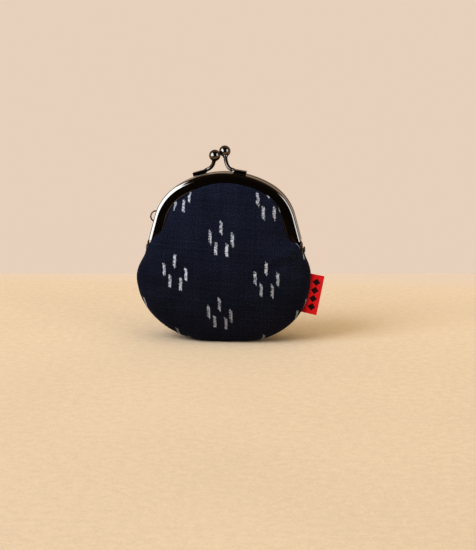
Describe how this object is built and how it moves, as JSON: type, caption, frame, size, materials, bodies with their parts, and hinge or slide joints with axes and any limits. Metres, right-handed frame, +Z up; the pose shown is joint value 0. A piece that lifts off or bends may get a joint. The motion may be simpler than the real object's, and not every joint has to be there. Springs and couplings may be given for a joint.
{
  "type": "coin purse",
  "caption": "Round kiss-lock coin purse: hinged metal bows with crossed ball clasps hold a bulging, lined cloth pouch with a ribbon tag in its side seam.",
  "frame": {"origin": "middle of the flat spot that the pouch stands on, under the hinge axis", "axes": "+X from the left hinge to the right hinge as seen from the front, +Y from the front to the back, +Z up"},
  "size_m": [0.0966, 0.033, 0.0991],
  "materials": {
    "indigo_cotton": "matte plain weave, dark indigo with pale resist-dyed dashes",
    "lining_cotton": "matte plain weave, undyed",
    "red_ribbon": "woven ribbon with a slight sheen",
    "dark_nickel": "polished dark nickel plate",
    "paper_cord": "twisted kraft paper"
  },
  "bodies": {
    "pouch": {"outer_front": "indigo_cotton", "outer_back": "indigo_cotton", "lining_front": "lining_cotton", "lining_back": "lining_cotton", "side_tag": "red_ribbon"},
    "front_half": {"front_bow": "dark_nickel", "front_paper_cord": "paper_cord", "front_clasp_arm": "dark_nickel", "front_clasp_ball": "dark_nickel"},
    "back_half": {"back_bow": "dark_nickel", "back_paper_cord": "paper_cord", "back_clasp_arm": "dark_nickel", "back_clasp_ball": "dark_nickel", "strap_loop": "dark_nickel", "hinge_rivet_right": "dark_nickel", "hinge_rivet_left": "dark_nickel"}
  },
  "joints": [
    {"name": "front_open", "type": "hinge", "parent": "pouch", "child": "front_half", "pos_m": [0, 0, 0.047], "axis": [1, 0, 0], "range_deg": [0, 45], "deforming": ["outer_front", "lining_front"]},
    {"name": "back_open", "type": "hinge", "parent": "pouch", "child": "back_half", "pos_m": [0, 0, 0.047], "axis": [-1, 0, 0], "range_deg": [0, 45], "deforming": ["outer_back", "lining_back"]}
  ],
  "couplings": [
    {"joint": "back_open", "follows": "front_open", "ratio": 1}
  ]
}
